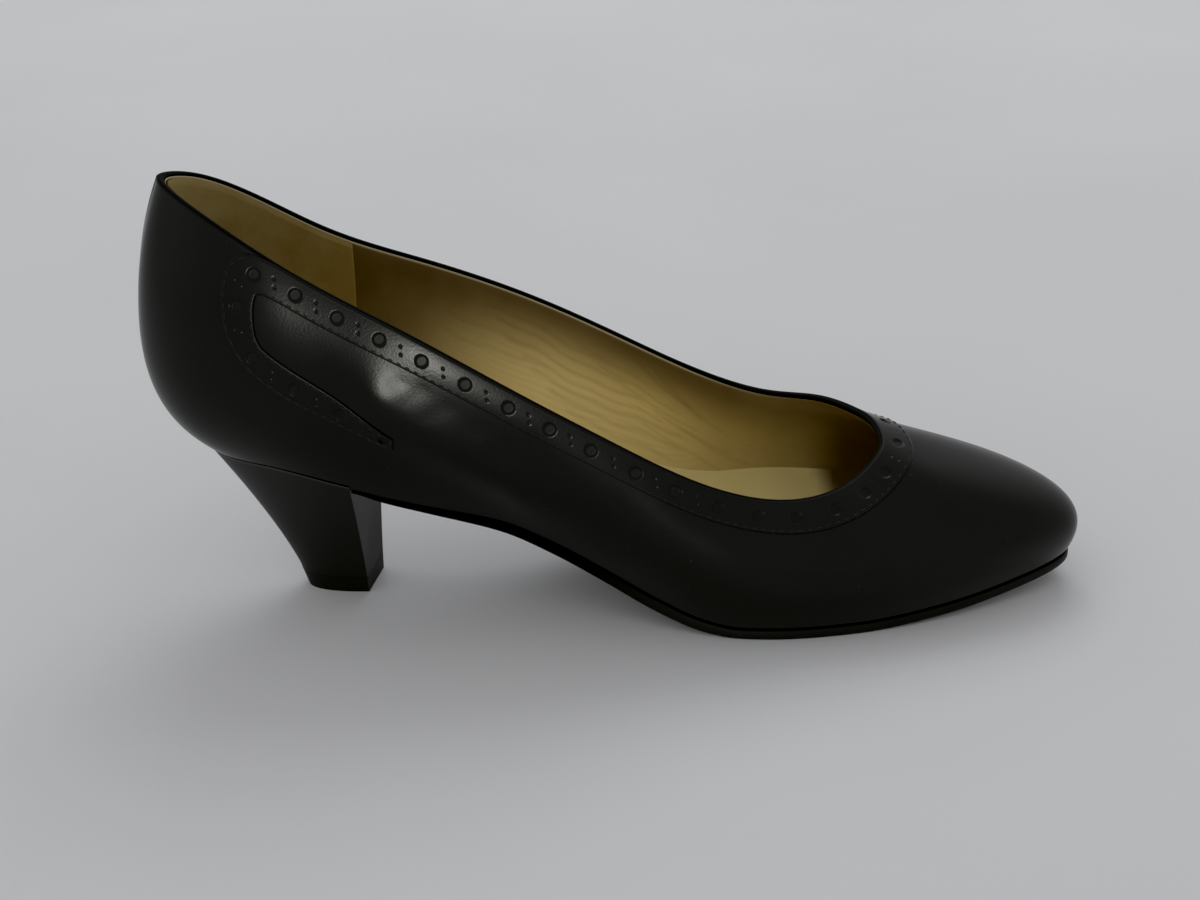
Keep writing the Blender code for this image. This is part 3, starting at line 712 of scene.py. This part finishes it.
under = skin(under_at, under_depth, np.full(under_at.shape, -BAND_SUNK))
points = np.concatenate([skin(band_at, band_depth, height), under], 1)
# matt folded edge along the collar, and painted shade at the bottoms of the holes
matt_and_shade = np.maximum(HOLE_SHADE * holes, np.clip(BAND_DULL - band_depth, 0, 1))
round_band = BAND_COLS + BAND_UNDER
caps = np.stack([np.arange(round_band)[::-1], np.arange(round_band) + (BAND_ROWS - 1) * round_band])
band_calf = black_leather("punched_calf", CALF_DARK, CALF_LIGHT, roughness=0.22, cells=1800.0, coat=0.04)
band = piece(
    "brogued_band",
    points,
    [quads(BAND_ROWS, round_band, ring_cols=True), caps],
    band_calf,
    sharp=70,
    marks={"matt_and_shade": np.concatenate([matt_and_shade, 0 * under_at], 1)},
)
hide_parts("brogue_band")

# Stitches: waxed black thread, one row along the band's lower edge and one along the outside of each hook.
# The machine pulls every stitch down, so that its ends sink into the leather.
STITCH_LONG, STITCH_PITCH, STITCH_ROUND = 1.7, 2.3, 0.18
STITCH_IN, STITCH_END = 0.95, 1.5  # from the band's side, and from its end
STITCH_PROUD, STITCH_PULL = 0.04, 0.3  # height of its middle over the band, and how far its ends sink
HOOK_FROM = 186.0  # along the band, where the outer row begins
STITCH_RINGS, STITCH_SIDES = 6, 6


def stitches(along, side):
    """Capsules of thread laid along the band: circles round each stitch, its ends pulled into the leather."""
    width = profile(middle_length, middle_line[:, 2], along)
    aside = side * (width / 2 - STITCH_IN)
    share = np.linspace(-1, 1, STITCH_RINGS)
    place, depth = band_line(along[:, None] + share * STITCH_LONG / 2, aside[:, None] + 0 * share)
    path = skin(place, depth, BAND_LEAST + BAND_THICK + STITCH_PROUD - STITCH_PULL * share**4 + 0 * place)
    normal = wall_normal(place, share_at(place, depth))
    ahead = path[:, -1:] - path[:, :1]
    across = np.cross(normal, ahead)
    across /= np.linalg.norm(across, axis=-1, keepdims=True)
    angle = np.linspace(0, 2 * np.pi, STITCH_SIDES, endpoint=False)
    thin = STITCH_ROUND * np.sqrt(1.02 - share**2)[None, :, None, None]
    circle = np.cos(angle)[:, None] * across[:, :, None] + np.sin(angle)[:, None] * normal[:, :, None]
    return path[:, :, None] + thin * circle


stitch_along = np.arange(-band_end + STITCH_END, band_end - STITCH_END, STITCH_PITCH)
hooked = stitch_along[np.abs(stitch_along) > HOOK_FROM]
thread = np.concatenate([stitches(stitch_along, 1), stitches(hooked, -1)])
one = quads(STITCH_RINGS, STITCH_SIDES, ring_cols=True)
size = STITCH_RINGS * STITCH_SIDES
each = size * np.arange(len(thread))
sides = (one[None] + each[:, None, None]).reshape(-1, 4)
ends = np.stack([np.arange(STITCH_SIDES)[::-1], np.arange(size - STITCH_SIDES, size)])
ends = (ends[None] + each[:, None, None]).reshape(-1, STITCH_SIDES)
# The thread's tones are lighter than the calf's: a painted sheen for the light that the thread catches.
THREAD_SHEEN_DARK, THREAD_SHEEN_LIGHT = (0.012, 0.012, 0.011), (0.025, 0.025, 0.023)
waxed = black_leather("waxed_thread", THREAD_SHEEN_DARK, THREAD_SHEEN_LIGHT, roughness=0.45, cells=6000.0, coat=0.0)
sewn = piece("band_stitches", thread, [sides, ends], waxed, sharp=80)

# Insole: a board with a little padding under a pale sock of thin leather, pressed into a shallow dish. It
# closes the upper from inside, and the sock's edge laps a little way up the lining.
SOCK_INSET = 2.35  # from the upper's lower edge
SOCK_THICK, SOCK_LIP = 5.0, 4.3  # board, padding and sock together, and the lap up the lining
SOCK_SHADE_LINE, SOCK_SLANT = 192.7, 0.25  # ahead of this slanting line, inside the vamp, it carries painted shadow
SOCK_FADE, SOCK_PALE = 7.0, 0.92  # width of the change there, and how pale it is behind the painted shadow
DISH, DISH_ENDS = 4, 16  # exponents of the lip's rise: across the foot, and towards the toe and the back
SOCK_ROWS, SOCK_COLS = 150, 41
SOCK_GATHER = 0.6  # its rows lie closer together at the toe and the back


def inside(at, height):
    """Point of the lining's face at a height above the upper's lower edge."""
    v = np.linspace(0, 1, RIB_STEPS + 1)
    at_all, v_all = at[:, None] + 0 * v, v + 0 * at[:, None]
    face = wall(at_all, v_all) + LINING_FACE * wall_normal(at_all, v_all)
    target = foot_ring(at)[:, 2] + height
    i = np.clip((face[..., 2] <= target[:, None]).sum(-1) - 1, 0, RIB_STEPS - 1)
    low, high = face[np.arange(len(at)), i], face[np.arange(len(at)), i + 1]
    share = (target - low[:, 2]) / (high[:, 2] - low[:, 2])
    return low + share[:, None] * (high - low)


def across(outer, inner, cols):
    """Grid of straight lines from the outer edge to the inner edge."""
    share = np.linspace(0, 1, cols)[None, :, None]
    return outer[:, None] * (1 - share) + inner[:, None] * share


def block(levels):
    """Faces of a closed block: like grids one over the other, lowest first, with walls round the rims."""
    count, rows, cols = levels.shape[:3]
    size = rows * cols
    number = np.arange(size).reshape(rows, cols)
    rim = np.concatenate([number[0, :-1], number[:-1, -1], number[-1, :0:-1], number[:0:-1, 0]])
    after = np.roll(rim, -1)
    walls = np.stack([rim, after, after + size, rim + size], -1) + size * np.arange(count - 1)[:, None, None]
    caps = quads(rows, cols)
    return np.concatenate([caps[:, ::-1], caps + (count - 1) * size, walls.reshape(-1, 4)])


share = np.linspace(0, 1, SOCK_ROWS)
sock_at = BACK * (share - SOCK_GATHER * np.sin(2 * np.pi * share) / (2 * np.pi))
under = across(foot_ring(sock_at, SOCK_INSET), foot_ring(-sock_at, SOCK_INSET), SOCK_COLS)
under[..., 2] = feather(under[..., 0])
bed = across(inside(sock_at, SOCK_THICK + SOCK_LIP), inside(-sock_at, SOCK_THICK + SOCK_LIP), SOCK_COLS)
to_sides = np.abs(np.linspace(-1, 1, SOCK_COLS)) ** DISH
to_ends = np.abs(np.linspace(-1, 1, SOCK_ROWS)) ** DISH_ENDS
bed[..., 2] -= SOCK_LIP * (1 - np.maximum(to_sides[None, :], to_ends[:, None]))
levels = np.stack([under, bed])
sock_leather = tan_leather(
    "pale_sock",
    shade=(0.10, 0.065, 0.016),
    light=(0.95, 0.81, 0.37),
    raw=(0.7, 0.6, 0.4),
    roughness=0.6,
    cells=1300.0,
    depth_of_grain=0.00008,
    uneven=0.03,
)
# the sock is pale behind the line and has the vamp's painted shadow ahead of it
forward = levels[..., 0] + SOCK_SLANT * levels[..., 1]
marks = {"paleness": SOCK_PALE * smooth_step(SOCK_SHADE_LINE, SOCK_SHADE_LINE - SOCK_FADE, forward)}
sock = piece("insole_sock", levels, [block(levels)], sock_leather, sharp=50, marks=marks)
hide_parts("insole")

# Outsole: a thin moulded sole glued under the upper's lower edge, from the toe to the heel's breast. Its
# edge is trimmed a little outside the upper, rounded and blacked.
SOLE_OUT = 0.5  # beyond the upper's lower edge
SOLE_ROWS_ALONG, SOLE_COLS = 160, 25
SOLE_GATHER = 0.7  # its rows lie closer together at the toe
SOLE_SHADE_TO, SOLE_SHADE_FADE = 150.0, 40.0  # the waist behind this x is matt and darkened, as painted shade
SOLE_UNDER, SOLE_JOINT = 0.3, 0.02  # the sole's least thickness, and the gap of glue above it
BREAST_OUT, BREAST_IN, BREAST_GAP = 54.3, 56.6, 0.3  # x of the heel's breast on each side, and the gap to it
SOLE_EDGE = [
    # inset from the widest line, share of the sole's height
    (0.55, 0.0), (0.2, 0.06), (0.04, 0.2), (0.0, 0.5), (0.03, 0.78), (0.12, 0.93), (0.36, 1.0),
]


def place_at(x):
    """Ring place on the outer side where the upper's lower edge passes x."""
    places = np.linspace(0, BACK, RIBS_MEASURED + 1)
    return np.interp(-x, -ring("foot_x", "foot_x", places), places)


share = np.linspace(0, 1, SOLE_ROWS_ALONG)
share = share - SOLE_GATHER * np.sin(np.pi * share) / np.pi
levels = []
for inset, up in SOLE_EDGE:
    outer_edge = foot_ring(place_at(BREAST_OUT + BREAST_GAP) * share, inset - SOLE_OUT)
    inner_edge = foot_ring(-place_at(BREAST_IN + BREAST_GAP) * share, inset - SOLE_OUT)
    level = across(outer_edge, inner_edge, SOLE_COLS)
    low = feather(level[..., 0]) - SOLE_UNDER - profile(SOLE["x"], SOLE["edge"], level[..., 0])
    level[..., 2] = low + up * (feather(level[..., 0]) - SOLE_JOINT - low)
    levels.append(level)
levels = np.stack(levels)
SOLE_LIGHT = (0.007, 0.007, 0.0066)
sole_black = black_leather("blacked_sole", CALF_DARK, SOLE_LIGHT, roughness=0.5, cells=900.0, coat=0.0)
# painted shade along the sole's waist
unlit = smooth_step(SOLE_SHADE_TO, SOLE_SHADE_TO - SOLE_SHADE_FADE, levels[..., 0])
outsole = piece("moulded_outsole", levels, [block(levels)], sole_black, sharp=35, marks={"matt_and_shade": unlit})
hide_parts("outsole")

# Heel: a moulded block covered with the same calf, cupped under the seat, with a flat breast. The cover is
# pulled tight round the block, and its upper edge is turned in against the upper.
TIP_BACK_X, TIP_HALF_WIDTH, TIP_ROUND = 37.0, 6.6, 2.4  # the tip's outline, rounder for a smaller exponent
FLARE, SEAT_RISE = 1.3, 40.0  # exponent of the widening to the seat, and the height for a level cut
SEAT_INSET, SEAT_LAP = -0.35, 0.3  # from the upper's lower edge, and above it
LAP_FROM, LAP_TO, LAP_UP, LAP_OUT = 28.0, 55.0, 0.9, 0.45  # between these x it laps higher up the quarter
SEAT_GAP, RIM_HIGHLIGHT = 0.05, 0.8  # under the upper's edge, and the strength of the painted highlight along the cover's upper edge
TOP_PIECE, TOP_PIECE_GAP = 5.0, 0.08  # height of the rubber lift, and the joint above it
HEEL_ROWS, HEEL_COLS, HEEL_LEVELS = 60, 15, 44

to_back = np.linspace(0, 1, HEEL_ROWS)
tip_back = np.sin(to_back * np.pi / 2) ** (2 / TIP_ROUND)
tip_side = TIP_HALF_WIDTH * (1 - tip_back**TIP_ROUND) ** (1 / TIP_ROUND)


def heel_edges(breast_x, side):
    """Edge of the seat and of the tip on one side, from the breast to the back."""
    start = place_at(breast_x)
    at = side * (start + (BACK - start) * to_back)
    lap = smooth_step(LAP_FROM, LAP_TO, ring("foot_x", "foot_x", at))[:, None]
    seat_edge = foot_ring(at, SEAT_INSET - LAP_OUT * lap)
    tip_x = breast_x - (breast_x - TIP_BACK_X) * tip_back
    return seat_edge, np.stack([tip_x, -side * tip_side, 0 * tip_x], -1)


seat_out, tip_out = heel_edges(BREAST_OUT, 1)
seat_in, tip_in = heel_edges(BREAST_IN, -1)
seat, tip = across(seat_out, seat_in, HEEL_COLS), across(tip_out, tip_in, HEEL_COLS)
seat[..., 2] = feather(seat[..., 0]) - SEAT_GAP
on_rim = np.zeros(seat.shape[:-1])
on_rim[:, [0, -1]] = on_rim[-1] = 1
seat[..., 2] += on_rim * (SEAT_LAP + LAP_UP * smooth_step(LAP_FROM, LAP_TO, seat[..., 0]))


def heel_level(height):
    """Grid of the heel at a share of its height: the tip grows into the seat by a power of the height."""
    level = tip * (1 - height**FLARE) + seat * height**FLARE
    level[..., 2] = seat[..., 2] * height
    return level


def heel_cut(z):
    """Grid of the heel cut level at z."""
    level = heel_level(z / SEAT_RISE)
    level[..., 2] = z
    return level


def soften(obj, width):
    """Rounds the piece's crisp edges by a narrow bevel."""
    bevel = obj.modifiers.new("soft_edges", "BEVEL")
    bevel.width = width * MM
    bevel.segments = 3
    bevel.limit_method = "ANGLE"
    bevel.angle_limit = np.radians(40)


lowest = TOP_PIECE + TOP_PIECE_GAP
heights = np.linspace(lowest / SEAT_RISE, 1, HEEL_LEVELS)[1:]
levels = np.stack([heel_cut(lowest)] + [heel_level(height) for height in heights])
COVER_DARK, COVER_LIGHT = (0.003, 0.003, 0.0028), (0.0055, 0.0055, 0.0052)
heel_calf = black_leather("heel_cover_calf", COVER_DARK, COVER_LIGHT, roughness=0.46, cells=1900.0, coat=0.03)
rim = np.zeros(levels.shape[:-1])
# a painted highlight lightens the cover's upper edge
rim[-1] = RIM_HIGHLIGHT
heel = piece("heel_cover", levels, [block(levels)], heel_calf, sharp=35, marks={"rim_highlight": rim})
soften(heel, 0.2)
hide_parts("heel")

# Top piece: a lift of hard black rubber pinned under the heel's block, where it takes the wear. It is
# trimmed flush with the cover and left matt.
levels = np.stack([heel_cut(0.0), heel_cut(TOP_PIECE)])
RUBBER_DARK, RUBBER_LIGHT = (0.0025, 0.0025, 0.0025), (0.0045, 0.0045, 0.0043)
lift_rubber = black_leather("lift_rubber", RUBBER_DARK, RUBBER_LIGHT, roughness=0.52, cells=500.0, coat=0.0)
lift = piece("heel_lift", levels, [block(levels)], lift_rubber, sharp=35)
soften(lift, 0.15)
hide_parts("heel_top_piece")

# Floor: a wide pale cloth that lies flat under the shoe. It is matt, and its tone is a little uneven from
# place to place.
FLOOR_HALF = 4.0
floor_mesh = bpy.data.meshes.new("floor")
corners = FLOOR_HALF * np.array([(-1, -1, 0), (1, -1, 0), (1, 1, 0), (-1, 1, 0)])
floor_mesh.from_pydata(corners.tolist(), [], [(0, 1, 2, 3)])
floor = bpy.data.objects.new("floor", floor_mesh)
bpy.context.scene.collection.objects.link(floor)
cloth = bpy.data.materials.new("pale_cloth")
cloth.use_nodes = True
tree = cloth.node_tree
shader = tree.nodes["Principled BSDF"]
shader.inputs["Roughness"].default_value = 0.9
shader.inputs["Specular IOR Level"].default_value = 0.2
spot = node(tree, "ShaderNodeTexCoord").outputs["Object"]
uneven = node(tree, "ShaderNodeTexNoise", {"Vector": spot, "Scale": 6.0, "Detail": 4.0})
tint = blend(tree, uneven.outputs["Fac"], (0.70, 0.70, 0.71), (0.78, 0.78, 0.79))
tree.links.new(tint, shader.inputs["Base Color"])
floor_mesh.materials.append(cloth)

# Light: an even pale room all round, soft day light from above and behind, and a small shaded lamp low down
# to the front left, whose narrow beam gives the leather its highlights.
world = bpy.data.worlds.new("pale_room")
bpy.context.scene.world = world
world.use_nodes = True
room = world.node_tree.nodes["Background"]
room.inputs["Color"].default_value = (0.985, 0.99, 1.0, 1)
room.inputs["Strength"].default_value = 0.53


def stood(right, up, back, place):
    """The matrix of a thing that stands at a place, with its own three axes turned to these."""
    turned = np.eye(4)
    turned[:3] = np.stack([right, up, back, place], 1)
    return Matrix(turned.tolist())


def soft_light(name, place, aim, size, power, colour, spread):
    """A square lamp of a size in metres, at a place, facing the aim, with a beam of spread degrees."""
    data = bpy.data.lights.new(name, "AREA")
    data.size, data.energy, data.color, data.spread = size, power, colour, np.radians(spread)
    lamp = bpy.data.objects.new(name, data)
    away = np.array(place, float) - aim
    away /= np.linalg.norm(away)
    level = np.cross((0, 0, 1.0), away)
    level /= np.linalg.norm(level)
    lamp.matrix_world = stood(level, np.cross(away, level), away, place)
    bpy.context.scene.collection.objects.link(lamp)


soft_light(
    "sky_behind",
    place=(0.15, 1.4, 1.7),
    aim=(0, 0, 0),
    size=1.3,
    power=9.5,
    colour=(0.95, 0.975, 1.0),
    spread=180,
)
soft_light(
    "lamp_low",
    place=(-0.197, -1.271, 0.084),
    aim=(-0.0485, -0.031, 0.073),
    size=0.12,
    power=0.042,
    colour=(1.0, 0.99, 0.92),
    spread=24,
)

# The picture keeps plain tones, with the deepest shades drawn down to black, a little more in the blue.
view = bpy.context.scene.view_settings
view.view_transform = "Standard"
view.use_curve_mapping = True
view.curve_mapping.black_level = (0.0034, 0.0033, 0.0043)
view.curve_mapping.update()

# Camera: in front of the outer side and above it, a little rolled, as the shoe was seen. Its lens is that
# of a plain hand camera, held a little over half a metre away.
YAW, ELEVATION, ROLL = np.radians((2.5, 26.8, -1.8))
DISTANCE, AIM = 0.530, np.array((118.0, 0.0, 39.0))
back = np.array((np.sin(YAW) * np.cos(ELEVATION), -np.cos(YAW) * np.cos(ELEVATION), np.sin(ELEVATION)))
level = np.array((np.cos(YAW), np.sin(YAW), 0))
upright = np.cross(back, level)
right = level * np.cos(ROLL) + upright * np.sin(ROLL)
up = upright * np.cos(ROLL) - level * np.sin(ROLL)
lens = bpy.data.cameras.new("camera")
lens.sensor_fit, lens.sensor_width, lens.lens = "HORIZONTAL", 36.0, 60.0
camera = bpy.data.objects.new("camera", lens)
stand = (AIM - SHOE_MIDDLE) * MM + back * DISTANCE
camera.matrix_world = stood(right, up, back, stand)
bpy.context.scene.collection.objects.link(camera)
bpy.context.scene.camera = camera
